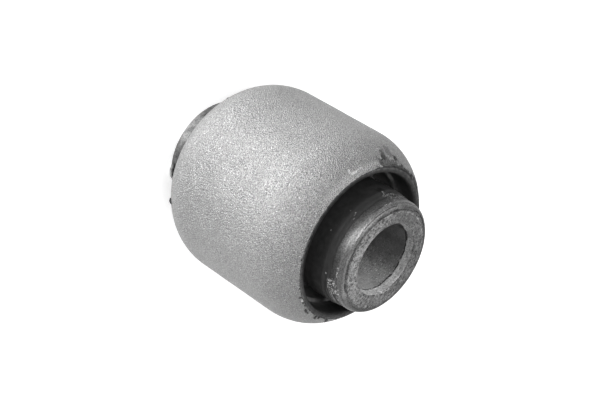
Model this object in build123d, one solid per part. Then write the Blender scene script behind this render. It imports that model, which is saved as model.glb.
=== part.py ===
from build123d import *
from math import cos, radians, sin, tan
import os

# Rubber metal bush: a steel inner sleeve is carried inside a swaged steel outer sleeve by rubber
# that is bonded to both. Lengths are millimetres and angles are degrees.
#
# +Z runs along the bush's axis. The origin is the centre of the inner sleeve's lower end face, on
# which the bush stands. Both ends are alike: each section is drawn above the middle of the bush,
# as radius and height, then mirrored, revolved and lifted onto its lower end face.

# Inner sleeve: a thick tube that a bolt clamps by its end faces
bore_diameter = 14.2
inner_sleeve_diameter = 23.2
inner_sleeve_length = 49.4
end_corner_radius = 1.4
lead_in_depth = 1.5
lead_in_width = 0.5

# Outer sleeve: a thin tube, pressed into its housing, with both ends swaged inwards
outer_sleeve_diameter = 40.0
outer_sleeve_length = 36.6
outer_sleeve_wall = 1.5
swage_radius = 11.4
swage_angle = 50.0

# Rubber on the inner sleeve: bare steel, then a feathered film, then a coat that ends in a bead
bare_length = 3.3
film_thickness = 0.2
film_length = 1.6
coat_thickness = 0.4
coat_length = 4.4
bead_height = 0.9
neck_thickness = 0.2

# Rubber in the outer sleeve: a lip over its cut end, and a recess with a shelf round a deeper groove
lip_cover = 0.2
lip_edge_radius = 0.3
recess_draft = 2.5
shelf_depth = 4.4
shelf_share = 0.25
shelf_edge_radius = 0.25
groove_depth = 10.0
largest_round = 0.4  # of the width of the shelf or groove floor that is rounded

# Radii and heights that follow from them
bore_radius = bore_diameter / 2
inner_sleeve_radius = inner_sleeve_diameter / 2
end_height = inner_sleeve_length / 2
outer_sleeve_radius = outer_sleeve_diameter / 2
rim_height = outer_sleeve_length / 2
swage_rise = swage_radius * sin(radians(swage_angle))
swage_centre = (outer_sleeve_radius - swage_radius, rim_height - swage_rise)
inside_swage_radius = swage_radius - outer_sleeve_wall


def swage_point(radius):
    """The end of a swaged arc of this radius, at the sleeve's cut end."""
    centre_radius, centre_height = swage_centre
    end_radius = centre_radius + radius * cos(radians(swage_angle))
    return (end_radius, centre_height + radius * sin(radians(swage_angle)))


def sleeve_line(radius):
    """One surface of the outer sleeve: straight from the middle, then the swaged arc."""
    centre_radius, centre_height = swage_centre
    straight = Line((centre_radius + radius, 0), (centre_radius + radius, centre_height))
    return straight + CenterArc(swage_centre, radius, 0, swage_angle)


def ring(upper_section):
    """The solid of a section that is drawn above the middle of the bush."""
    section = upper_section + mirror(upper_section, Plane.XZ)
    return Pos(0, 0, end_height) * revolve(Plane.XZ * section, Axis.Z)


def inner_sleeve():
    """Thick tube, rounded outside at both ends, with a steep lead-in to the bore."""
    outline = (
        (bore_radius, 0),
        (bore_radius, end_height - lead_in_depth),
        (bore_radius + lead_in_width, end_height),
        (inner_sleeve_radius, end_height),
        (inner_sleeve_radius, 0),
    )
    section = make_face(Polyline(*outline, close=True))
    corner = section.vertices().group_by(Axis.Y)[-1].sort_by(Axis.X)[-1]
    return ring(fillet(corner, end_corner_radius))


def outer_sleeve():
    """Thin tube whose ends curve inwards and are cut square to the wall."""
    outside = sleeve_line(swage_radius)
    inside = sleeve_line(inside_swage_radius)
    cut_end = Line(swage_point(swage_radius), swage_point(inside_swage_radius))
    middle = Line(outside @ 0, inside @ 0)
    return ring(make_face(outside + cut_end + inside + middle))


def open_surface():
    """The rubber's open surface, from the rim's corner to where its film meets the inner sleeve."""
    lip_radius = swage_point(inside_swage_radius)[0] - lip_cover
    shelf_height = rim_height - shelf_depth
    wall_radius = lip_radius - shelf_depth * tan(radians(recess_draft))
    neck_radius = inner_sleeve_radius + neck_thickness
    shelf_radius = wall_radius - shelf_share * (wall_radius - neck_radius)
    shelf_round = min(shelf_edge_radius, largest_round * (wall_radius - shelf_radius))
    floor_height = rim_height - groove_depth
    floor_radius = shelf_radius - (groove_depth - shelf_depth) * tan(radians(recess_draft))
    floor_round = largest_round * (floor_radius - neck_radius)
    coat_radius = inner_sleeve_radius + coat_thickness
    film_radius = inner_sleeve_radius + film_thickness
    film_height = end_height - bare_length
    coat_height = film_height - film_length
    bead_top = coat_height - coat_length
    outline = (
        (swage_point(swage_radius), None),
        ((lip_radius, rim_height), lip_edge_radius),
        ((wall_radius, shelf_height), shelf_round),
        ((shelf_radius, shelf_height), shelf_round),
        ((floor_radius, floor_height), floor_round),
        ((neck_radius, floor_height), floor_round),
        ((neck_radius, bead_top - bead_height), bead_height / 2),
        ((coat_radius, bead_top), bead_height),
        ((coat_radius, coat_height), 0),
        ((film_radius, coat_height), 0),
        ((film_radius, film_height), 0),
        ((inner_sleeve_radius, film_height), None),
    )
    points = [point for point, _ in outline]
    rounds = [radius for _, radius in outline[1:-1]]
    return FilletPolyline(*points, radius=rounds)


def rubber_body():
    """Rubber that fills the space between the sleeves and is moulded open at both ends."""
    bonded = sleeve_line(inside_swage_radius)
    cut_end = Line(swage_point(inside_swage_radius), swage_point(swage_radius))
    opening = open_surface()
    inner_bond = Line(opening @ 1, (inner_sleeve_radius, 0))
    middle = Line((inner_sleeve_radius, 0), bonded @ 0)
    return ring(make_face(bonded + cut_end + opening + inner_bond + middle))


pieces = {
    "outer_sleeve": outer_sleeve(),
    "rubber_body": rubber_body(),
    "inner_sleeve": inner_sleeve(),
}

os.makedirs("parts", exist_ok=True)
for name, piece in pieces.items():
    export_step(piece, f"parts/{name}.step")
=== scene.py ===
from math import atan2, cos, pi, radians, sin, tan

import bmesh
import bpy
import numpy as np
from mathutils import Matrix, Vector, noise

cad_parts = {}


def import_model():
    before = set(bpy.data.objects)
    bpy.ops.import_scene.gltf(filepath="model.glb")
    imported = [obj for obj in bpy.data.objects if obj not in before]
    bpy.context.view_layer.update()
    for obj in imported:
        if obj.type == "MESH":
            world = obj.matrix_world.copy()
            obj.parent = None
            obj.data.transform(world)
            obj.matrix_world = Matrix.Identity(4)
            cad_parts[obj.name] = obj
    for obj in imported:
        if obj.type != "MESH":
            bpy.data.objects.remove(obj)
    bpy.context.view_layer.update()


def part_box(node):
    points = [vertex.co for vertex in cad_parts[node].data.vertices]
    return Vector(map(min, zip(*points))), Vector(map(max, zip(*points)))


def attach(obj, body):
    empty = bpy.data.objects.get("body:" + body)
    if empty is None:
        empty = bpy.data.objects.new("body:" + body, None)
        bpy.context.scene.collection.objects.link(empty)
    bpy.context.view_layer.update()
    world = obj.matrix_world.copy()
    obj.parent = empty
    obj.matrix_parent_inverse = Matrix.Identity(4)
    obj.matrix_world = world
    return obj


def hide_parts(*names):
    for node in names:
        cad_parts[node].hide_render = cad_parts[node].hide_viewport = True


# Rubber metal bush, standing on its lower end face. Its upper end is the one that the photograph
# shows. Lengths are metres in the meshes and millimetres in the materials. Azimuth is in degrees
# round the bush: 0 faces -Y, towards the camera, and 90 faces +X.

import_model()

MM = 0.001

# ---- sizes, from the frame -------------------------------------------------------------------

_, sleeve_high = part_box("outer_sleeve")
_, rubber_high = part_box("rubber_body")
tube_low, tube_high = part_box("inner_sleeve")

MIDDLE = (tube_low.z + tube_high.z) / 2
END_HEIGHT = tube_high.z - MIDDLE
TUBE_RADIUS = tube_high.x
SLEEVE_RADIUS = sleeve_high.x
SLEEVE_WALL = sleeve_high.x - rubber_high.x
RIM_HEIGHT = sleeve_high.z - MIDDLE
FILM_HEIGHT = rubber_high.z - MIDDLE

# ---- sizes that the frame's boxes don't give, the same as the solids' ------------------------

BORE_RADIUS = 7.1 * MM
END_ROUND = 1.4 * MM
LEAD_IN_DEPTH = 1.5 * MM
LEAD_IN_WIDTH = 0.5 * MM
SWAGE_RADIUS = 11.4 * MM
SWAGE_ANGLE = radians(50)
COAT_RADIUS = TUBE_RADIUS + 0.4 * MM
FILM_RADIUS = TUBE_RADIUS + 0.2 * MM
FILM_LENGTH = 1.6 * MM
COAT_LENGTH = 4.4 * MM
BEAD_HEIGHT = 0.9 * MM
LIP_COVER = 0.2 * MM
RECESS_DRAFT = radians(2.5)
SHELF_DEPTH = 4.4 * MM
SHELF_SHARE = 0.25
GROOVE_DEPTH = 10 * MM

# ---- sizes that follow, with heights from the middle of the bush -----------------------------

SWAGE_CENTRE = SLEEVE_RADIUS - SWAGE_RADIUS
SWAGE_START = RIM_HEIGHT - SWAGE_RADIUS * sin(SWAGE_ANGLE)
RIM_RADIUS = SWAGE_CENTRE + SWAGE_RADIUS * cos(SWAGE_ANGLE)
MOUTH_HEIGHT = END_HEIGHT - LEAD_IN_DEPTH
FACE_START = BORE_RADIUS + LEAD_IN_WIDTH
COAT_END = FILM_HEIGHT - FILM_LENGTH
NECK_END = COAT_END - COAT_LENGTH

# ---- wear ------------------------------------------------------------------------------------

SINK = 0.02 * MM  # keeps the uneven steel inside the solids
BLASTED_RELIEF = 0.004 * MM
WAVY_RELIEF = 0.012 * MM
PIT_RELIEF = 0.012 * MM
NICK_RELIEF = 0.06 * MM
MOUTH_SKEW = 0.1 * MM
MOUTH_SKEW_AZIMUTH = 130
BRIM_WEAR = 0.12 * MM
BRIM_SKEW = 0.06 * MM
BURR_AZIMUTH = 43
BURR_SIZE = 0.5 * MM


# ---- mesh building ---------------------------------------------------------------------------

def round_corner(before, here, after, rounding, step):
    """Points along the rounding of one corner of a section."""
    before = (before - here) / np.linalg.norm(before - here)
    after = (after - here) / np.linalg.norm(after - here)
    half = np.arccos(np.clip(before @ after, -1, 1)) / 2
    centre = here + (before + after) / np.linalg.norm(before + after) * rounding / sin(half)
    start = here + before * rounding / tan(half) - centre
    end = here + after * rounding / tan(half) - centre
    turn = atan2(start[0] * end[1] - start[1] * end[0], start @ end)
    spins = turn * np.linspace(0, 1, max(3, int(np.ceil(abs(turn) * rounding / step)) + 1))
    return [centre + (start[0] * cos(s) - start[1] * sin(s), start[0] * sin(s) + start[1] * cos(s))
            for s in spins]


def path(corners):
    """Points along a closed section. Each corner is (radius, height, round, step), and its step is
    the spacing of the points up to the next corner."""
    places = [np.array(corner[:2]) for corner in corners]
    points = []
    for index, (*_, rounding, step) in enumerate(corners):
        rounded = [places[index]]
        if rounding:
            rounded = round_corner(places[index - 1], places[index], places[(index + 1) % len(places)],
                                   rounding, step)
        points += [(point, step) for point in rounded]
    filled = []
    for (here, step), (there, _) in zip(points, points[1:] + points[:1]):
        count = max(1, int(round(np.linalg.norm(there - here) / step)))
        filled += [here + (there - here) * share for share in np.arange(count) / count]
    return np.array(filled)


def both_ends(upper):
    """The section of a part with two like ends, from the corners of its upper end."""
    lower = [(radius, -height, rounding, step) for radius, height, rounding, step in reversed(upper)]
    steps = [corner[3] for corner in lower]
    lower = [(*corner[:3], step) for corner, step in zip(lower, steps[1:] + steps[-1:])]
    return [(radius, height + MIDDLE, *rest) for radius, height, *rest in upper + lower]


def cloud(rows, columns, size, seed):
    """A smooth random field on a grid that closes on itself, with features some size steps across."""
    field = np.fft.fft2(np.random.default_rng(seed).standard_normal((rows, columns)))
    tall, wide = np.meshgrid(np.fft.fftfreq(rows), np.fft.fftfreq(columns), indexing="ij")
    field = np.fft.ifft2(field * np.exp(-((tall**2 + wide**2) * (pi * size)**2) / 2)).real
    return field / field.std()


def bulge(azimuth, facing, half, soft):
    """1 round one side of the bush, within half of the facing azimuth, falling smoothly to 0."""
    away = np.abs((azimuth - facing + 180) % 360 - 180)
    share = np.clip((half + soft - away) / soft, 0, 1)
    return share * share * (3 - 2 * share)


def fade(distance, reach):
    """1 where the distance is 0, falling to 0 at the reach."""
    return np.clip(1 - np.abs(distance) / reach, 0, 1)


def ring(name, outline, turns, shift):
    """A closed ring of revolution. shift gives how far each point moves outwards and up."""
    azimuth = np.arange(turns) * 2 * pi / turns
    degrees = np.degrees((azimuth + pi) % (2 * pi) - pi)[None, :]
    out, up = shift(outline[:, :1], outline[:, 1:], degrees)
    radius, height = outline[:, :1] + out, outline[:, 1:] + up
    x, y = radius * np.sin(azimuth), -radius * np.cos(azimuth)
    points = np.stack(np.broadcast_arrays(x, y, height), 2)
    index = np.arange(len(outline) * turns).reshape(len(outline), turns)
    beside, above = np.roll(index, -1, 1), np.roll(index, -1, 0)
    quads = np.stack((index, beside, np.roll(beside, -1, 0), above), 2).reshape(-1, 4)
    onward = np.roll(outline, -1, 0)
    if np.sum(outline[:, 0] * onward[:, 1] - onward[:, 0] * outline[:, 1]) < 0:
        quads = quads[:, ::-1]
    mesh = bpy.data.meshes.new(name)
    mesh.from_pydata(points.reshape(-1, 3).tolist(), [], quads.tolist())
    mesh.shade_smooth()
    piece = bpy.data.objects.new(name, mesh)
    bpy.context.scene.collection.objects.link(piece)
    return piece


# ---- pieces ----------------------------------------------------------------------------------

def swage(radius, step):
    """The bend and the end of a swaged arc of this radius, round the sleeve's own swage centre."""
    bend = (SWAGE_CENTRE + radius, SWAGE_START + radius * tan(SWAGE_ANGLE / 2), radius, step)
    end = (SWAGE_CENTRE + radius * cos(SWAGE_ANGLE), SWAGE_START + radius * sin(SWAGE_ANGLE), 0, step)
    return bend, end


def outer_sleeve():
    """Swaged tube with a slightly uneven, blasted surface."""
    bend, rim = swage(SWAGE_RADIUS, 0.3 * MM)
    inside_bend, inside_rim = swage(SWAGE_RADIUS - SLEEVE_WALL, 1 * MM)
    outline = path(both_ends([inside_bend, inside_rim, rim, bend]))
    turns = 420
    relief = BLASTED_RELIEF * cloud(len(outline), turns, size=2.2, seed=1) - SINK
    relief += WAVY_RELIEF * cloud(len(outline), turns, size=12, seed=2)
    covered_radius = RIM_RADIUS - 0.3 * MM * cos(SWAGE_ANGLE)

    def shift(radius, height, azimuth):
        return relief * (radius > covered_radius), 0
    return ring("outer_sleeve_visual", outline, turns, shift)


def inner_sleeve():
    """Thick tube with pitted ends, a nicked mouth to its bore and a burr at its foot."""
    corners = both_ends([(BORE_RADIUS, MOUTH_HEIGHT, 0, 0.2 * MM),
                         (FACE_START, END_HEIGHT, 0.05 * MM, 0.05 * MM),
                         (FACE_START + 0.2 * MM, END_HEIGHT, 0, 0.15 * MM),
                         (TUBE_RADIUS, END_HEIGHT, END_ROUND, 0.15 * MM),
                         (TUBE_RADIUS, COAT_END, 0, 1.5 * MM)])
    bore_step = 0.5 * MM
    corners[-1] = (*corners[-1][:3], bore_step)
    outline = path(corners)
    turns = 320
    pits = PIT_RELIEF * np.minimum(cloud(len(outline), turns, size=1.3, seed=3), 0.8) - SINK
    nicks = NICK_RELIEF * cloud(1, turns, size=1.8, seed=4)
    bore_side = BORE_RADIUS + 0.3 * MM
    burr_middle = 0.9 * MM

    def shift(radius, height, azimuth):
        end = np.sign(height - MIDDLE)
        level = np.abs(height - MIDDLE)
        pitted = pits * (radius > bore_side) * (level > FILM_HEIGHT)
        pitted = pitted * np.where(radius > TUBE_RADIUS - END_ROUND, 0.5, 1)
        skewed = nicks - MOUTH_SKEW * np.cos(np.radians(azimuth - MOUTH_SKEW_AZIMUTH))
        mouth = skewed * (radius < bore_side) * fade(MOUTH_HEIGHT - level, 0.5 * MM)
        burr = BURR_SIZE * bulge(azimuth, BURR_AZIMUTH, 3, 6) * fade(height - burr_middle, burr_middle)
        burr = burr * (radius > TUBE_RADIUS - 0.5 * MM)
        brim = fade(np.maximum((END_HEIGHT - level) / MM, (radius - FACE_START) / (0.4 * MM)), 1)
        brim = brim * (BRIM_WEAR + BRIM_SKEW * np.cos(np.radians(azimuth)))
        return pitted * (level < END_HEIGHT - 0.05 * MM) + burr - brim, (pitted + mouth) * end
    return ring("inner_sleeve_visual", outline, turns, shift)


# Shreds of moulding flash on the swages: azimuth, distance from the rim, length, width and
# thickness in millimetres, lean in radians, and 1 for the upper end or -1 for the lower one
CRUMBS = [
    (30.5, 0.12, 0.35, 0.25, 0.12, 0, 1), (53.5, 0.1, 0.4, 0.25, 0.12, 0, 1),
    (62, 0.35, 0.45, 0.55, 0.16, 0.3, 1), (68, 0.15, 0.45, 0.35, 0.14, 0, 1),
    (71.5, 0.1, 0.5, 0.25, 0.12, 0, 1), (77.7, 0.55, 1.5, 0.5, 0.2, -0.25, 1),
    (80.5, 0.6, 0.5, 0.35, 0.2, 0.2, 1), (91, 0.5, 1.1, 0.55, 0.2, -0.8, 1),
    (94, 0.25, 0.5, 0.45, 0.15, 0, 1), (104, 0.4, 1.0, 0.6, 0.18, -0.7, 1),
    (106.5, 1.0, 1.9, 0.5, 0.18, -0.9, 1), (-77.5, 2.0, 0.5, 0.35, 0.08, 0.4, 1),
    (-64, 1.5, 0.55, 0.3, 0.08, 0.7, 1), (43, 3.35, 1.2, 0.3, 0.3, 0.9, -1),
    (150, 0.4, 0.8, 0.35, 0.15, 0.6, 1), (-160, 0.3, 0.6, 0.3, 0.12, -0.4, 1),
    (120, 0.3, 0.7, 0.35, 0.15, 0.3, -1), (-40, 0.4, 0.6, 0.35, 0.15, -0.6, -1),
    (-128, 0.6, 0.9, 0.35, 0.15, 0.9, -1)]


def add_crumb(rubber, azimuth, distance, long, wide, thick, lean, end):
    """Add one of the crumbs to the rubber. Lean turns its length from round the rim towards it."""
    slope = SWAGE_ANGLE - distance * MM / SWAGE_RADIUS
    turn = radians(azimuth)
    outward, around = Vector((sin(turn), -cos(turn), 0)), Vector((cos(turn), sin(turn), 0))
    normal = outward * cos(slope) + Vector((0, 0, end * sin(slope)))
    along = around * cos(lean) + normal.cross(around) * sin(lean)
    across = normal.cross(along)
    foot = outward * SWAGE_CENTRE + normal * SWAGE_RADIUS
    foot.z += MIDDLE + end * SWAGE_START
    lump = bmesh.ops.create_icosphere(rubber, subdivisions=3, radius=1)
    for vertex in lump["verts"]:
        swell = 1 + 0.55 * noise.noise(vertex.co * 1.7 + Vector((azimuth, distance, 0)))
        x, y, z = vertex.co * swell
        vertex.co = foot + (along * x * long / 2 + across * y * wide / 2 + normal * z * thick) * MM


def rubber_section():
    """Corners of the rubber's section at its upper end, from the sleeve's bend to the bare tube."""
    inside_bend, inside_rim = swage(SWAGE_RADIUS - SLEEVE_WALL, 1 * MM)
    shelf_height, groove_height = RIM_HEIGHT - SHELF_DEPTH, RIM_HEIGHT - GROOVE_DEPTH
    wall_top = inside_rim[0] - LIP_COVER
    wall_foot = wall_top - SHELF_DEPTH * tan(RECESS_DRAFT)
    shelf_edge = wall_foot - (wall_foot - FILM_RADIUS) * SHELF_SHARE
    groove_edge = shelf_edge - (GROOVE_DEPTH - SHELF_DEPTH) * tan(RECESS_DRAFT)
    fine = 0.3 * MM
    return [inside_bend, inside_rim, (RIM_RADIUS, RIM_HEIGHT, 0, fine),
            (wall_top, RIM_HEIGHT, 0.3 * MM, fine),
            (wall_foot, shelf_height, 0.25 * MM, fine),
            (shelf_edge, shelf_height, 0.25 * MM, 0.5 * MM),
            (groove_edge, groove_height, 0.8 * MM, fine),
            (FILM_RADIUS, groove_height, 0.8 * MM, 0.4 * MM),
            (FILM_RADIUS, NECK_END - BEAD_HEIGHT - 0.1 * MM, 0.3 * MM, fine),
            (COAT_RADIUS, NECK_END, 0.6 * MM, fine),
            (COAT_RADIUS, COAT_END - 0.2 * MM, 0.6 * MM, 0.15 * MM),
            (FILM_RADIUS, COAT_END + 0.35 * MM, 0.6 * MM, fine),
            (FILM_RADIUS, FILM_HEIGHT - 0.45 * MM, 0.5 * MM, 0.1 * MM),
            (TUBE_RADIUS + 0.05 * MM, FILM_HEIGHT, 0.03 * MM, 0.1 * MM),
            (TUBE_RADIUS, FILM_HEIGHT + 0.05 * MM, 0, 1.5 * MM)]


def rubber_body():
    """Moulded rubber with a ragged lip, an uneven edge to its coat and film, and shreds of flash."""
    outline = path(both_ends(rubber_section()))
    turns = 360
    ripple = cloud(1, turns, size=6, seed=5)
    flash = np.maximum(cloud(1, turns, size=1.2, seed=6), -0.3)

    def shift(radius, height, azimuth):
        end = np.sign(height - MIDDLE)
        level = np.abs(height - MIDDLE)
        reach = np.interp(level, (NECK_END, COAT_END, FILM_HEIGHT), (0, 0.8, 0.5))
        creep = np.where(end > 0, bulge(azimuth, -5, 35, 40), bulge(azimuth, 150, 30, 80))
        wobble = ripple * np.interp(level, (COAT_END, FILM_HEIGHT), (0, 0.04))
        up = (reach * creep + wobble) * MM * end * (radius < COAT_RADIUS + 0.2 * MM)
        lip = fade(np.hypot(radius - RIM_RADIUS, level - RIM_HEIGHT), 0.35 * MM)
        smeared = bulge(azimuth, -80, 16, 12)
        ragged = 0.03 + 0.12 * smeared + 0.08 * bulge(azimuth, 88, 28, 10)
        spread = 0.12 * smeared - 0.03 * bulge(azimuth, 75, 40, 15)
        return lip * (spread + ragged * flash) * MM, up
    piece = ring("rubber_body_visual", outline, turns, shift)
    rubber = bmesh.new()
    rubber.from_mesh(piece.data)
    for place in CRUMBS:
        add_crumb(rubber, *place)
    rubber.to_mesh(piece.data)
    rubber.free()
    piece.data.shade_smooth()
    return piece


# ---- materials -------------------------------------------------------------------------------

NOISE_LEVELS = (0.3, 0.7)  # noise mostly keeps between them
SPOT_EDGE = (1.3, 0.7)  # shares of a spot's size, between which its edge comes in


class Finish:
    """A node material that is built up one node at a time."""

    def __init__(self, name, **constants):
        self.material = bpy.data.materials.new(name)
        self.material.use_nodes = True
        self.tree = self.material.node_tree
        self.shader = self.tree.nodes["Principled BSDF"]
        for socket, value in constants.items():
            self.shader.inputs[socket.replace("_", " ")].default_value = value
        place = self.add("ShaderNodeTexCoord").outputs["Object"]
        self.place = self.vector("SCALE", place, scale=1 / MM)

    def add(self, kind, inputs=(), **settings):
        """A new node, with its inputs linked to sockets or set to values."""
        node = self.tree.nodes.new(kind)
        for name, value in settings.items():
            setattr(node, name, value)
        for socket, value in dict(inputs).items():
            if isinstance(value, bpy.types.NodeSocket):
                self.tree.links.new(value, node.inputs[socket])
            elif value is not None:
                node.inputs[socket].default_value = value
        return node

    def vector(self, operation, first, second=None, scale=None):
        inputs = {0: first, 1: second, "Scale": scale}
        node = self.add("ShaderNodeVectorMath", inputs, operation=operation)
        return node.outputs["Value" if operation == "LENGTH" else "Vector"]

    def flat(self, x, y):
        return self.add("ShaderNodeCombineXYZ", {0: x, 1: y}).outputs[0]

    def maths(self, operation, first, second=None, third=None):
        inputs = {0: first, 1: second, 2: third}
        return self.add("ShaderNodeMath", inputs, operation=operation).outputs[0]

    def times(self, *factors):
        product = factors[0]
        for factor in factors[1:]:
            product = self.maths("MULTIPLY", product, factor)
        return product

    def mix(self, share, first, second):
        """The first value where share is 0, and the second where it is 1."""
        return self.add("ShaderNodeMix", {0: share, 2: first, 3: second}).outputs[0]

    def ramp(self, value, low, high, start=0.0, end=1.0, smooth=True):
        """The value, taken from the range low to high into the range start to end."""
        inputs = {"Value": value, "From Min": low, "From Max": high, "To Min": start, "To Max": end}
        kind = "SMOOTHSTEP" if smooth else "LINEAR"
        return self.add("ShaderNodeMapRange", inputs, interpolation_type=kind).outputs[0]

    def noise(self, size, detail=2.0, roughness=0.5, place=None):
        """Soft noise from 0 to 1, with features about size millimetres across."""
        inputs = {"Vector": place or self.place, "Scale": 1 / size, "Detail": detail,
                  "Roughness": roughness}
        return self.add("ShaderNodeTexNoise", inputs).outputs["Fac"]

    def spread(self, noise, start, end, smooth=False):
        """Noise, taken from the levels that it mostly keeps to into the range start to end."""
        return self.ramp(noise, *NOISE_LEVELS, start, end, smooth)

    def bump(self, height, strength, distance):
        inputs = {"Height": height, "Strength": strength, "Distance": distance}
        return self.add("ShaderNodeBump", inputs).outputs["Normal"]

    def along(self, value, *stops):
        """The value read through stops of (place, level), with a straight line between each two."""
        first, last = stops[0][0], stops[-1][0]
        share = self.ramp(value, first, last, smooth=False)
        curve = self.add("ShaderNodeValToRGB", {0: share})
        elements = curve.color_ramp.elements
        while len(elements) < len(stops):
            elements.new(0.5)
        for element, (place, level) in zip(elements, stops):
            element.position = (place - first) / (last - first)
            element.color = (level, level, level, 1)
        return self.red(curve.outputs[0])

    def red(self, colour):
        return self.add("ShaderNodeSeparateColor", {0: colour}).outputs[0]

    def window(self, value, middle, half, soft):
        """1 within half of the middle, falling to 0 over the soft edge."""
        away = self.maths("ABSOLUTE", self.maths("SUBTRACT", value, middle))
        return self.ramp(away, half + soft / 2, half - soft / 2)

    def zone(self, *windows):
        """1 inside all of the windows of (value, middle, half, soft)."""
        return self.times(*[self.window(*window) for window in windows])

    def scale(self, share, factor):
        """1 where the share is 0, and the factor where it is 1."""
        return self.ramp(share, 0, 1, 1, factor)

    def shade(self, grey, factor, *windows):
        """The grey, times the factor inside all of the windows."""
        return self.times(grey, self.scale(self.zone(*windows), factor))

    def without(self, cover):
        return self.maths("SUBTRACT", 1, cover)

    def spots(self, across, upright, places, ragged=0.0):
        """How far ragged spots cover the surface, from 0 to 1. Each place is where the spot's middle
        is across and upright, half its width, half its height and its strength."""
        cover = 0.0
        for centre, level, wide, tall, strength in places:
            x = self.maths("DIVIDE", self.maths("SUBTRACT", across, centre), wide)
            y = self.maths("DIVIDE", self.maths("SUBTRACT", upright, level), tall)
            reach = self.maths("ADD", self.vector("LENGTH", self.flat(x, y)), ragged)
            cover = self.maths("MAXIMUM", cover, self.ramp(reach, *SPOT_EDGE, 0, strength))
        return cover

    def paint(self, grey, roughness, normal):
        colour = self.add("ShaderNodeCombineColor", {0: grey, 1: grey, 2: grey}).outputs[0]
        for socket, value in (("Base Color", colour), ("Roughness", roughness), ("Normal", normal)):
            self.tree.links.new(value, self.shader.inputs[socket])
        return self.material


class BushFinish(Finish):
    """A finish that knows where on the bush each point lies. The azimuth runs from -180 to 180, the
    turn from 0 to 360, and aside is how far round from the camera. The height is from the middle
    of the bush, and the level is the same at both ends."""

    def __init__(self, name, **constants):
        super().__init__(name, **constants)
        x, y, z = self.add("ShaderNodeSeparateXYZ", {0: self.place}).outputs
        around = self.maths("ARCTAN2", x, self.maths("MULTIPLY", y, -1))
        self.azimuth = self.maths("MULTIPLY", around, 180 / pi)
        self.turn = self.maths("FLOORED_MODULO", self.azimuth, 360)
        self.aside = self.maths("ABSOLUTE", self.azimuth)
        self.height = self.maths("SUBTRACT", z, MIDDLE / MM)
        self.level = self.maths("ABSOLUTE", self.height)
        self.radius = self.vector("LENGTH", self.flat(x, y))
        self.near = self.ramp(self.height, -1, 1)

    def towards(self, facing):
        """1 on the side of the bush that faces this azimuth, and -1 on the other side."""
        turn = self.times(self.maths("SUBTRACT", self.azimuth, facing), pi / 180)
        return self.maths("COSINE", turn)


# Marks are given as the places of Finish.spots: azimuth, then millimetres down the swage from the
# sleeve's upper rim, half the width in degrees, half the height in millimetres, and strength.
WORN_STEEL = [
    (-38.5, 1.2, 1.9, 0.18, 0.34), (-43, 1.3, 2, 0.14, 0.15), (-35.6, 1.9, 0.7, 0.25, 0.28),
    (65.5, 0.1, 1.6, 0.15, 0.4)]
RUBBER_SMEARS = [
    (-70, 0.8, 10, 1.0, 0.5), (-73.5, 3.3, 2.4, 1.3, 0.35), (-68, 3.6, 1.4, 0.5, 0.25),
    (-67, 2.4, 2.2, 1.0, 0.6), (-78, 2.0, 2, 0.5, 0.7), (-66, 1.9, 1.8, 0.4, 0.75),
    (-62.5, 0.9, 2, 0.5, 0.65), (-109, 0.6, 7, 0.9, 0.8), (-95, 0.15, 13, 0.5, 0.78),
    (-84, 0.5, 4, 0.5, 0.7), (-78, 0.1, 12, 0.5, 0.65)]
SMEAR_HOLES = [(-73, 1.75, 2.6, 0.3, 1)]


def below_rim(distance):
    """Height above the middle, in millimetres, this far down the swage from the sleeve's upper rim."""
    return (SWAGE_START + SWAGE_RADIUS * sin(SWAGE_ANGLE - distance * MM / SWAGE_RADIUS)) / MM


def swage_spots(finish, places, ragged):
    """Spots on the upper swage, whose places are given by how far they are from its rim."""
    places = [(azimuth, below_rim(distance), *size) for azimuth, distance, *size in places]
    return finish.spots(finish.azimuth, finish.height, places, ragged)


def blasted_steel():
    """Grit-blasted steel, with worn patches and smears of rubber beside the lip, and painted
    highlights towards the camera and below the upper rim.
    """
    finish = BushFinish("blasted_steel", Metallic=1.0, Specular_Tint=(0.8, 0.8, 0.8, 1))
    azimuth, height = finish.azimuth, finish.height
    stretched = finish.vector("MULTIPLY", finish.place, (0.88, 0.88, 1.2))
    grit = finish.noise(0.18, detail=0, place=stretched)
    glints = finish.ramp(finish.noise(0.25, detail=0, place=stretched), 0.6, 0.78, 0, 0.22)
    # The grain's contrast is painted stronger towards the camera, where the highlight falls, and
    # weaker at the sides and near the rim.
    contrast = finish.times(finish.ramp(finish.noise(3.5, detail=1), 0.35, 0.65, 0.8, 1.2),
                            finish.ramp(height, 13, 17, 1, 0.75),
                            finish.ramp(finish.aside, 0, 70, 1.06, 0.7))
    grey = finish.maths("MULTIPLY_ADD", finish.spread(grit, -0.12, 0.12), contrast, 0.38)
    grey = finish.maths("ADD", grey, glints)
    grey = finish.times(grey, finish.spread(finish.noise(5, detail=3), 0.98, 1.02, smooth=True))
    # Painted highlight: lighter on the side facing the camera, about the middle of the sleeve's
    # length.
    grey = finish.shade(grey, 1.12, (azimuth, 0, 22, 36), (height, 3.5, 8.5, 12))
    # Painted highlight: a lighter band just below the upper rim, round azimuth -36.
    rim_highlight = finish.times(finish.window(azimuth, -36, 26, 20), finish.ramp(height, 16.6, 17.8))
    grey = finish.times(grey, finish.scale(rim_highlight, 1.3))
    ragged = finish.spread(finish.noise(0.7, detail=2), -0.5, 0.5)
    grey = finish.maths("ADD", grey, swage_spots(finish, WORN_STEEL, ragged))
    smears = finish.times(swage_spots(finish, RUBBER_SMEARS, ragged),
                          finish.scale(swage_spots(finish, SMEAR_HOLES, ragged), 0.2))
    grey = finish.times(grey, finish.without(smears))
    roughness = finish.spread(grit, 0.62, 0.5, smooth=True)
    return finish.paint(grey, roughness, finish.bump(grit, 1.0, 0.0003))


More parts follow.
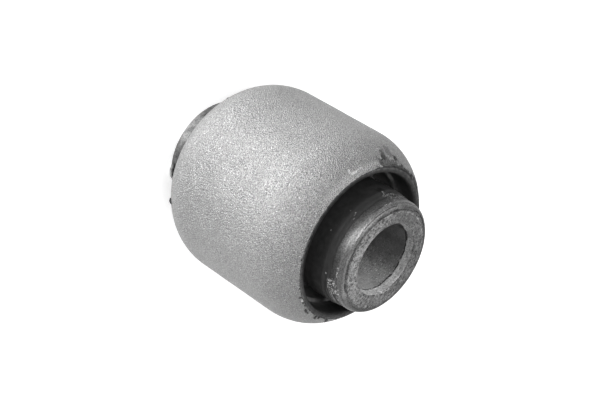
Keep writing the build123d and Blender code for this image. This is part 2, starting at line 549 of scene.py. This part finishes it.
# White release powder on the near end: azimuth, height from the middle, and the rest as above
POWDER = [
    (57, 22.8, 8, 1.2, 1.1), (53, 22.3, 8, 0.9, 1.15), (67, 23.0, 5, 0.5, 1.0),
    (55, 21.6, 10, 0.45, 1.15), (38, 23.4, 10, 0.3, 0.8), (-51, 23.6, 12, 0.25, 0.8),
    (-67, 22.0, 12, 1.5, 0.75), (-60, 21.0, 6, 0.7, 0.8), (-42.5, 24.1, 1.2, 0.3, 1.4),
    (-79, 21.8, 5, 0.6, 1.2)]
MOTES = [
    (3.2, 19, 0.8, 0.14, 0.25), (41.4, 20.9, 0.9, 0.16, 0.65), (-59.5, 20.2, 1, 0.2, 0.5),
    (-20.5, 19.9, 0.6, 0.1, 0.2), (-21.5, 20.9, 0.9, 0.12, 0.35), (-19.5, 21.1, 1.6, 0.08, 0.2),
    (-16, 21.5, 1.2, 0.1, 0.22)]
POWDER_GRAIN = 0.4


def residue(finish):
    """How far release powder covers the steel and the rubber: grains in a faint haze, and motes."""
    ragged = finish.spread(finish.noise(0.8, detail=1), -0.45, 0.45)
    patch = finish.spots(finish.azimuth, finish.height, POWDER, ragged)
    cells = finish.add("ShaderNodeTexVoronoi", {"Vector": finish.place, "Scale": 1 / POWDER_GRAIN})
    distance, lit = cells.outputs["Distance"], finish.red(cells.outputs["Color"])
    crowd = finish.times(patch, finish.ramp(finish.noise(0.8, detail=1), 0.3, 0.5, 0.24, 0.5))
    grains = finish.times(finish.ramp(finish.maths("SUBTRACT", distance, crowd), 0.0, -0.1),
                          finish.ramp(lit, 0, 1, 0.3, 1, smooth=False))
    haze = finish.times(finish.ramp(patch, 0.3, 1), 0.04)
    motes = finish.spots(finish.azimuth, finish.height, MOTES)
    return finish.maths("MAXIMUM", finish.maths("MAXIMUM", grains, haze), motes)


FACE_END = (10.3, 10.48)  # radii between which the inner sleeve's face gives way to its outside

# Greys of the inner sleeve: stops of (level, grey) outside it and of (turn, grey) at its ends.
# Outside, the dull greys are darker low down, partly with painted shade, and the highlight greys
# are a painted highlight; the lead-in and bore greys are painted light and shade.
DULL_AND_SHADED_GREYS = [
    (21.8, 0.055), (22.2, 0.062), (23.0, 0.08), (23.35, 0.1), (23.65, 0.17), (23.95, 0.21),
    (24.3, 0.17), (24.6, 0.14)]
HIGHLIGHT_GREYS = [
    (21.8, 0), (22.2, 0.035), (22.6, 0.06), (23.1, 0.1), (23.5, 0.2), (23.8, 0.2), (24.2, 0.07),
    (24.5, 0.04), (24.7, 0)]
FACE_GREYS = [
    (0, 0.28), (50, 0.28), (70, 0.21), (110, 0.17), (150, 0.14), (190, 0.123), (230, 0.11),
    (250, 0.165), (268, 0.125), (290, 0.12), (310, 0.17), (330, 0.25), (360, 0.28)]
LEAD_IN_LIGHT_GREYS = [
    (0, 0.6), (60, 0.9), (90, 1), (110, 0.88), (130, 0.71), (150, 0.55), (170, 0.42), (190, 0.3),
    (210, 0.26), (230, 0.25), (248, 0.27), (262, 0.52), (280, 0.55), (360, 0.6)]
BORE_LIGHT_GREYS = [
    (0, 0.2), (60, 0.9), (110, 0.9), (130, 0.68), (150, 0.58), (170, 0.28), (190, 0.15),
    (215, 0.11), (250, 0.16), (300, 0.22), (360, 0.2)]

# Factors on the grey that paint light and shade: by azimuth where the outside is rounded off into
# the face, and by radius across the face's outer edge, where it faces the camera and elsewhere
ROUNDING_LIGHT_FACTORS = [
    (-180, 1.6), (-110, 1.6), (-78, 2.6), (-62, 2.2), (-45, 1.5), (-22, 1.8), (-7, 1.12), (7, 1.02),
    (30, 0.68), (45, 0.85), (60, 2), (78, 2.2), (97, 1.6), (180, 1.6)]
FRONT_EDGE_FACTORS = [
    (9.8, 0.56), (10.0, 0.36), (10.2, 0.28), (10.4, 0.34), (10.55, 0.58), (10.7, 0.86), (10.8, 1),
    (10.9, 0.85), (11.05, 0.56)]
BACK_EDGE_FACTORS = [(9.9, 1), (10.1, 0.85), (10.3, 0.7), (10.5, 0.6), (10.7, 0.7), (10.9, 1)]

# Marks on the inner sleeve: azimuth or, in the bore, turn, then height or, on a face, radius, and
# the rest as above
FAR_SHADOWS = [
    (34.5, -22.2, 4, 0.95, 0.97), (40, -22.2, 4.5, 1.1, 0.97), (45, -22.3, 5, 1.15, 0.97),
    (50, -22.4, 5, 1.05, 0.97), (36, -21.6, 8, 0.5, 0.9), (47, -21.6, 7, 0.5, 0.9)]
FACE_DENTS = [
    (-145, 7.75, 9, 0.3, 0.5), (167, 7.75, 6, 0.2, 0.5), (-112, 9.9, 4, 0.3, 0.55),
    (-59, 10.3, 6, 0.15, 0.65), (-37, 10.2, 7, 0.15, 0.65), (31, 10.3, 5, 0.15, 0.55),
    (52, 10.6, 6, 0.2, 0.55), (115, 7.5, 3, 0.2, 0.5), (-86, 8.1, 9, 0.25, 0.35),
    (-97, 8.5, 6, 0.2, 0.35), (-125, 8.3, 5, 0.12, 0.4)]
LEAD_IN_CHIPS = [(139, 7.55, 9, 0.4, 0.9), (122, 7.45, 6, 0.3, 0.6)]
BORE_SMEARS = [(251, 22.5, 5, 0.8, 0.55), (238, 23.3, 13, 0.22, 0.75)]
DARK_STREAK = [
    (66, 22.1, 8, 0.2, 0.5), (74, 22.3, 8, 0.24, 0.65), (82, 22.55, 9, 0.26, 0.6),
    (92, 22.7, 9, 0.2, 0.35)]


def near_end(finish):
    """Grey of the inner sleeve's outside at the near end. It is dull and darker low down, partly with
    painted shade, with a painted highlight band towards the camera that climbs on the slant, and
    painted light and shade as it rounds off into the face."""
    azimuth, level = finish.azimuth, finish.level
    # Painted highlight: a band towards the camera that slants across the levels, and a fainter one on
    # the flank round azimuth -33.
    slant = finish.maths("MULTIPLY_ADD", finish.maths("SUBTRACT", level, 22.9), 8, azimuth)
    painted_highlight = finish.times(finish.window(slant, 4.5, 9, 22), finish.along(level, *HIGHLIGHT_GREYS))
    flank_highlight = finish.times(finish.zone((azimuth, -33, 18, 20), (level, 24.15, 0.35, 0.4)), 0.09)
    # The dull greys are darker low down, partly with painted shade.
    grey = finish.maths("ADD", finish.along(level, *DULL_AND_SHADED_GREYS), finish.maths("ADD", painted_highlight, flank_highlight))
    # Painted light and shade where the outside rounds off into the face.
    rounded = finish.along(azimuth, *ROUNDING_LIGHT_FACTORS)
    grey = finish.times(grey, finish.mix(finish.window(level, 24.5, 0.3, 0.2), 1, rounded))
    # Painted shade: darker stretches across the highlight band, at both its sides, and further to the
    # right
    grey = finish.shade(grey, 0.66, (azimuth, -8, 9, 14), (level, 23.95, 0.12, 0.3))
    grey = finish.shade(grey, 0.55, (finish.aside, 52, 15, 16), (level, 23.45, 0.2, 0.4))
    grey = finish.shade(grey, 0.62, (azimuth, -70, 7, 10), (level, 22.75, 0.5, 0.4))
    return finish.shade(grey, 0.64, (azimuth, -38, 6, 10), (level, 23.5, 0.15, 0.3))


def far_end(finish):
    """Grey of the inner sleeve's outside at the far end: patchy steel with a painted highlight towards
    the camera, painted shadow beside the burr, and a pale burr.
    """
    # Painted highlight: lighter towards the camera.
    front_highlight = finish.ramp(finish.window(finish.azimuth, -6, 16, 34), 0, 1, 0.2, 0.5)
    patchy = finish.ramp(finish.noise(1.8, detail=2), 0.35, 0.6, 0.55, 1)
    ragged = finish.spread(finish.noise(0.9, detail=2), -0.15, 0.15)
    # The dark marks here are painted shadow in the gap beside the burr.
    smears = finish.spots(finish.azimuth, finish.height, FAR_SHADOWS, ragged)
    burr = finish.times(finish.window(finish.azimuth, BURR_AZIMUTH, 8, 8),
                        finish.ramp(finish.height, -23.1, -23.6), 0.35)
    return finish.maths("ADD", finish.times(front_highlight, patchy, finish.without(smears)), burr)


def face_edge(finish, grey, wander, dashes):
    """The grey, with a broken dark ring near the face's outer edge, and painted light and shade on the
    shoulder round it.
    """
    further_out = finish.ramp(finish.azimuth, -74, -92)
    dark_ring = finish.maths("MULTIPLY_ADD", further_out, -0.26, finish.radius)
    dark_ring = finish.window(finish.maths("MULTIPLY_ADD", wander, 0.6, dark_ring), 10.27, 0.12, 0.14)
    depth = finish.ramp(finish.azimuth, -30, -50, 0.6, 0.25)
    front = finish.ramp(finish.aside, 72, 58)
    uneven = finish.maths("MULTIPLY_ADD", wander, 0.4, finish.radius)
    shoulder = finish.mix(front, finish.along(uneven, *BACK_EDGE_FACTORS),
                          finish.along(uneven, *FRONT_EDGE_FACTORS))
    shoulder = finish.times(shoulder, finish.scale(front, 1.78))
    return finish.times(grey, finish.mix(finish.times(dark_ring, dashes), 1, depth), shoulder)


def face_marks(finish, grey, wander):
    """The grey, with dents, paler and darker stretches of the face, and on its edge a dark scratch
    beside a painted glint.
    """
    azimuth, turn, radius = finish.azimuth, finish.turn, finish.radius
    dents = finish.times(finish.spots(azimuth, radius, FACE_DENTS, wander), finish.near)
    grey = finish.times(grey, finish.without(dents))
    grey = finish.shade(grey, 1.25, (radius, 10.0, 0.15, 0.25), (azimuth, -122, 30, 14))
    grey = finish.shade(grey, 0.74, (radius, 10.0, 0.15, 0.25), (azimuth, -38, 12, 12))
    # Paler stretches of the face by the mouth of the bore.
    paler_by_bore = finish.maths("ADD", finish.window(turn, 44, 16, 20),
                             finish.times(finish.window(turn, 93, 8, 12), 1.5))
    paler_by_bore = finish.times(paler_by_bore, finish.window(radius, 8.0, 0.25, 0.3))
    grey = finish.times(grey, finish.maths("MULTIPLY_ADD", paler_by_bore, 0.3, 1))
    grey = finish.shade(grey, 0.9, (azimuth, 2, 38, 20), (radius, 10.02, 0.12, 0.25))
    pale_ring = finish.times(finish.window(radius, 9.85, 0.12, 0.2),
                             finish.ramp(finish.towards(-85), 0.3, 0.9))
    grey = finish.times(grey, finish.scale(pale_ring, 1.9))
    scratch_and_glint_side = finish.times(finish.window(azimuth, -35, 22, 8), finish.near)
    scratch = finish.times(scratch_and_glint_side, finish.window(radius, 11.13, 0.07, 0.08))
    # Painted highlight: a thin glint line round the edge.
    glint = finish.times(scratch_and_glint_side, finish.window(radius, 10.92, 0.07, 0.1))
    return finish.times(grey, finish.scale(scratch, 0.4), finish.scale(glint, 1.35))


def bore_marks(finish, grey, wander, dashes):
    """The grey, with a broken line of painted shade round the nicked mouth of the bore and smears just
    inside it.
    """
    end, bore = END_HEIGHT / MM, BORE_RADIUS / MM
    uneven = finish.maths("MULTIPLY_ADD", wander, 0.4, finish.level)
    # Painted shade: a broken dark line where the lead-in meets the bore, unbroken round turn 236.
    edge = finish.window(uneven, end - 1.58, 0.14, 0.14)
    shaded_stretches = finish.maths("MAXIMUM", dashes, finish.window(finish.turn, 236, 14, 8))
    edge = finish.times(edge, finish.ramp(finish.radius, bore + 0.18, bore + 0.14), shaded_stretches)
    smears = finish.times(finish.spots(finish.turn, finish.height, BORE_SMEARS, wander),
                          finish.ramp(finish.radius, bore + 0.4, bore + 0.3))
    return finish.times(grey, finish.scale(edge, 0.14), finish.scale(smears, 0))


def drawn_streaks(finish):
    """Factor for streaks drawn round the bore, with nicks on one side of it."""
    stretched = finish.vector("MULTIPLY", finish.place, (0.8, 1.4, 0.6))
    drawn = finish.noise(0.24, detail=1, place=stretched)
    streaks = finish.mix(finish.ramp(finish.noise(1.5, detail=1), 0.42, 0.6),
                         finish.ramp(drawn, 0.26, 0.36, 0.75, 1), finish.spread(drawn, 0.72, 1.34))
    unrolled = finish.flat(finish.times(finish.turn, 0.05), finish.height)
    nicks = finish.noise(0.2, detail=1, place=unrolled)
    nicks = finish.times(finish.ramp(nicks, 0.62, 0.72, 0.95, 2.2),
                         finish.ramp(nicks, 0.4, 0.3, 1, 0.4))
    return finish.times(streaks, finish.mix(finish.window(finish.turn, 168, 32, 30), 1, nicks))


def steel_grain(finish, speckle, satin_share):
    """Factor for the grain: pitted on the faces, and satin where the satin share is 1."""
    fine = finish.noise(0.24, detail=0)
    pits = finish.mix(finish.ramp(finish.noise(2.2, detail=1), 0.4, 0.6),
                      finish.ramp(speckle, 0.3, 0.44, 0.5, 1),
                      finish.ramp(speckle, 0.34, 0.48, 0.12, 1))
    pitted = finish.times(finish.spread(speckle, 0.5, 1.5), pits, finish.spread(fine, 0.68, 1.32),
                          finish.spread(finish.noise(0.9, detail=1), 0.82, 1.18))
    satin = finish.times(finish.spread(fine, 0.72, 1.28), finish.spread(speckle, 0.93, 1.07))
    return finish.mix(satin_share, pitted, satin)


def dull_steel():
    """Dull steel: worn outside, pitted on the end faces, and drawn in the bore, with painted light and
    shade on all three.
    """
    finish = BushFinish("dull_steel")
    azimuth, height, level, radius = finish.azimuth, finish.height, finish.level, finish.radius
    end, bore = END_HEIGHT / MM, BORE_RADIUS / MM
    speckle = finish.noise(0.42, detail=2, roughness=0.6)
    smoke = finish.noise(1.6, detail=3)
    wander = finish.spread(finish.noise(1.3, detail=2), -0.25, 0.25)
    dashes = finish.ramp(finish.noise(0.9, detail=2), 0.36, 0.5)

    outside = finish.ramp(radius, *FACE_END)
    lead_in = finish.times(finish.ramp(level, end - 0.06, end - 0.12),
                           finish.ramp(radius, bore + 1, bore + 0.9))
    deep = finish.ramp(finish.maths("ADD", level, wander), end - 1.45, end - 1.55)
    in_bore = finish.times(finish.ramp(radius, bore + 0.1, bore + 0.04), deep)

    ends = finish.mix(finish.near, far_end(finish), near_end(finish))
    grey = finish.mix(outside, finish.along(finish.turn, *FACE_GREYS), ends)
    grey = face_edge(finish, grey, wander, dashes)
    grey = face_marks(finish, grey, wander)
    grey = finish.mix(finish.spots(azimuth, radius, LEAD_IN_CHIPS, wander), grey, 0.42)
    # Painted light and shade in the lead-in and the bore, paler on their lit side.
    grey = finish.mix(lead_in, grey, finish.along(finish.turn, *LEAD_IN_LIGHT_GREYS))
    grey = finish.mix(in_bore, grey, finish.along(finish.turn, *BORE_LIGHT_GREYS))
    grey = bore_marks(finish, grey, wander, dashes)

    satin_share = finish.maths("MAXIMUM", outside, finish.times(lead_in, 0.8))
    grain = finish.mix(in_bore, steel_grain(finish, speckle, satin_share), drawn_streaks(finish))
    smoky = finish.mix(outside, finish.spread(smoke, 0.85, 1.15, smooth=True), 1)
    grey = finish.times(grey, grain, smoky)
    # A paler stretch and a darker streak by the edge of the rubber film.
    pale_stretch = finish.zone((azimuth, 70, 8, 6), (height, 21.62, 0.14, 0.18))
    ragged = finish.spread(finish.noise(1.1, detail=3), -0.25, 0.25)
    dark_streak = finish.spots(azimuth, height, DARK_STREAK, ragged)
    grey = finish.times(finish.mix(pale_stretch, grey, 0.62), finish.without(dark_streak))
    grey = finish.mix(residue(finish), grey, 0.68)

    metallic = finish.mix(outside, 0.4, 0.95)
    metallic = finish.mix(finish.maths("SUBTRACT", lead_in, in_bore), metallic, 0.1)
    finish.tree.links.new(metallic, finish.shader.inputs["Metallic"])
    roughness = finish.mix(outside, finish.spread(smoke, 0.38, 0.32, smooth=True), 0.46)
    return finish.paint(grey, roughness, finish.bump(speckle, finish.mix(outside, 0.6, 0.35), 0.0002))


# Greys of the rubber: by level in the recess and on the neck, and by radius across the lip. Deep in
# the recess and low on the neck they are painted paler, as light, and the shelf is a painted
# highlight.
RECESS_TONE_AND_LIGHT = [
    (8, 0.2), (11, 0.15), (13.2, 0.08), (13.4, 0.08), (13.7, 0.17), (13.95, 0.16), (14.2, 0.07),
    (14.9, 0.065), (15.3, 0.04), (18.0, 0.025), (18.2, 0.025)]
NECK_TONE_AND_LIGHT = [
    (8, 0.14), (12, 0.08), (14.5, 0.035), (17, 0.018), (18.8, 0.019), (19.8, 0.016), (20.6, 0.018),
    (21.9, 0.022)]
LIP_GREYS = [
    (14.9, 0.02), (15.3, 0.022), (15.6, 0.055), (15.78, 0.08), (15.87, 0.06), (15.95, 0.04)]
COAT_SCUFFS = [(-60, 20.0, 5, 1.1, 0.75)]


def recess_and_lip(finish, blotch):
    """Grey of the rubber's recess, painted paler deep down, with a painted highlight on its shelf that
    has painted shadow at the sides and painted light round azimuth 125, and of its torn lip.
    """
    azimuth, level, aside = finish.azimuth, finish.level, finish.aside
    recess = finish.along(level, *RECESS_TONE_AND_LIGHT)
    shadow = finish.times(finish.window(level, 13.8, 0.3, 0.3), finish.ramp(aside, 98, 114))
    recess = finish.times(recess, finish.scale(shadow, 0.3))
    # Painted light on the shelf round azimuth 125.
    recess = finish.shade(recess, 8, (azimuth, 125, 9, 8), (level, 13.85, 0.2, 0.3))
    torn = finish.times(finish.spread(finish.noise(0.35, detail=2), 0.5, 1.5),
                        finish.spread(blotch, 0.75, 1.25, smooth=True))
    lip = finish.along(finish.radius, *LIP_GREYS)
    lip = finish.times(lip, finish.ramp(aside, 40, 80, 1, 0.55), torn)
    return finish.mix(finish.ramp(level, 18.1, 18.25), recess, lip)


def black_rubber():
    """Matt black rubber, a little dusty and scuffed on the coat, with two pale mould seams."""
    finish = BushFinish("black_rubber", Specular_IOR_Level=0.4)
    azimuth, height = finish.azimuth, finish.height
    skin = finish.noise(0.5, detail=3)
    blotch = finish.noise(1.1, detail=2)
    grey = finish.mix(finish.ramp(finish.radius, 12.3, 13), finish.along(finish.level, *NECK_TONE_AND_LIGHT),
                      recess_and_lip(finish, blotch))
    grey = finish.times(grey, finish.spread(blotch, 0.8, 1.2, smooth=True),
                        finish.spread(skin, 0.85, 1.15, smooth=True))
    seams = finish.maths("MAXIMUM", finish.window(height, 21.3, 0.06, 0.1),
                         finish.window(height, 20.7, 0.06, 0.1))
    grey = finish.mix(finish.times(seams, finish.window(azimuth, 73, 12, 8)), grey, 0.2)
    scuffs = finish.spots(azimuth, height, COAT_SCUFFS, finish.spread(blotch, -0.3, 0.3, smooth=True))
    dusty = finish.ramp(finish.maths("ABSOLUTE", finish.maths("ADD", azimuth, 4)), 25, 65, 1, 2)
    dusty = finish.mix(finish.window(height, 18.6, 1, 1.2), 1, dusty)
    grey = finish.times(grey, finish.without(scuffs), dusty)
    grey = finish.mix(residue(finish), grey, 0.5)
    roughness = finish.spread(skin, 0.5, 0.62, smooth=True)
    return finish.paint(grey, roughness, finish.bump(skin, 0.3, 0.00004))


def dress(piece, material, node):
    """Put a visual piece in the place of a solid, with its material in a slot of its own."""
    piece.data.materials.append(material)
    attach(piece, "root")
    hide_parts(node)


dress(outer_sleeve(), blasted_steel(), "outer_sleeve")
dress(inner_sleeve(), dull_steel(), "inner_sleeve")
dress(rubber_body(), black_rubber(), "rubber_body")

# ---- camera ----------------------------------------------------------------------------------

AIM = Vector((-0.99, 0, 25.47)) * MM
DISTANCE = 288.17 * MM
ELEVATION = radians(36.18)
ROLL = radians(121.864)
FOCAL_LENGTH = 88.704  # millimetres, as the sensor's width is
SENSOR_WIDTH = 36


def camera():
    """The photograph's camera. It faces +Y from above and is rolled, so that the bush lies over."""
    data = bpy.data.cameras.new("camera")
    data.lens = FOCAL_LENGTH
    data.sensor_width = SENSOR_WIDTH
    data.clip_start = 0.01
    view = bpy.data.objects.new("camera", data)
    back = Vector((0, -cos(ELEVATION), sin(ELEVATION)))
    level = Vector((1, 0, 0))
    upright = back.cross(level)
    right = level * cos(ROLL) + upright * sin(ROLL)
    turned = Matrix((right, back.cross(right), back)).transposed().to_4x4()
    view.matrix_world = Matrix.Translation(AIM + back * DISTANCE) @ turned
    bpy.context.scene.collection.objects.link(view)
    bpy.context.scene.camera = view


# ---- floor and light -------------------------------------------------------------------------

FLOOR_RADIUS = 2
FLOOR_SIDES = 64
FLOOR_GREY = 0.8
FLOOR_MIRRORED = 0.577
FLOOR_SEEN = 0.66
LAMPLIT = (200, 700)  # millimetres from the bush, over which the lamps' light on the floor gives out
STUDIO = 0.2


def floor():
    """A wide round white table top. Seen or mirrored, it has white added: seen, the more the
    further out, where the lamps don't reach."""
    around = np.arange(FLOOR_SIDES) * 2 * pi / FLOOR_SIDES
    mesh = bpy.data.meshes.new("floor")
    mesh.from_pydata([(FLOOR_RADIUS * cos(a), FLOOR_RADIUS * sin(a), 0) for a in around], [],
                     [list(range(FLOOR_SIDES))])
    ground = bpy.data.objects.new("floor", mesh)
    bpy.context.scene.collection.objects.link(ground)
    finish = Finish("floor", Roughness=1.0, Specular_IOR_Level=0.0, Emission_Color=(1, 1, 1, 1),
                    Base_Color=(FLOOR_GREY, FLOOR_GREY, FLOOR_GREY, 1))
    ray = finish.add("ShaderNodeLightPath").outputs
    mirrored = finish.maths("MAXIMUM", ray["Is Glossy Ray"], ray["Is Transmission Ray"])
    seen = finish.ramp(finish.vector("LENGTH", finish.place), *LAMPLIT, FLOOR_SEEN, 1)
    strength = finish.maths("MAXIMUM", finish.times(ray["Is Camera Ray"], seen),
                            finish.times(mirrored, FLOOR_MIRRORED))
    finish.tree.links.new(strength, finish.shader.inputs["Emission Strength"])
    mesh.materials.append(finish.material)


def lamp(name, azimuth, radius, height, size, power, facing=None):
    """A round soft lamp, turned to the middle of the bush unless it faces up or down. Its place and
    size are in metres, and its power is in watts."""
    data = bpy.data.lights.new(name, "AREA")
    data.shape = "DISK"
    data.size = size
    data.energy = power
    light = bpy.data.objects.new(name, data)
    light.location = (radius * sin(radians(azimuth)), -radius * cos(radians(azimuth)), height)
    away = light.location - Vector((0, 0, MIDDLE))
    light.rotation_euler = Vector(facing or away).to_track_quat("Z", "Y").to_euler()
    light.visible_camera = False
    bpy.context.scene.collection.objects.link(light)


def world(strength):
    """A dim studio all round, which the camera sees as white."""
    sky = bpy.data.worlds.new("studio")
    bpy.context.scene.world = sky
    sky.use_nodes = True
    nodes, links = sky.node_tree.nodes, sky.node_tree.links
    nodes["Background"].inputs["Color"].default_value = (1, 1, 1, 1)
    shown = nodes.new("ShaderNodeMapRange")
    shown.inputs["To Min"].default_value = strength
    shown.inputs["To Max"].default_value = 1
    links.new(nodes.new("ShaderNodeLightPath").outputs["Is Camera Ray"], shown.inputs["Value"])
    links.new(shown.outputs["Result"], nodes["Background"].inputs["Strength"])


camera()
floor()
lamp("key_low", -12, 0.45, 0.24, 0.08, 0.22)
lamp("key_high", -15, 0.35, 0.37, 0.2, 0.98)
lamp("right", -95, 0.43, 0.27, 0.3, 0.125)
lamp("left", 85, 0.43, 0.27, 0.35, 0.137)
lamp("left_high", 85, 0.25, 0.46, 0.3, 0.71)
lamp("back", 180, 0.4, 0.32, 0.35, 0.32)
lamp("table", -15, 0.055, 0.018, 0.05, 0.006, facing=(0, 0, 1))
lamp("under", -8, 0.07, 0.002, 0.07, 0.038, facing=(0, 0, -1))
lamp("under_near", -15, 0.045, 0.002, 0.04, 0.0067, facing=(0, 0, -1))
world(STUDIO)
bpy.context.scene.view_settings.view_transform = "Standard"
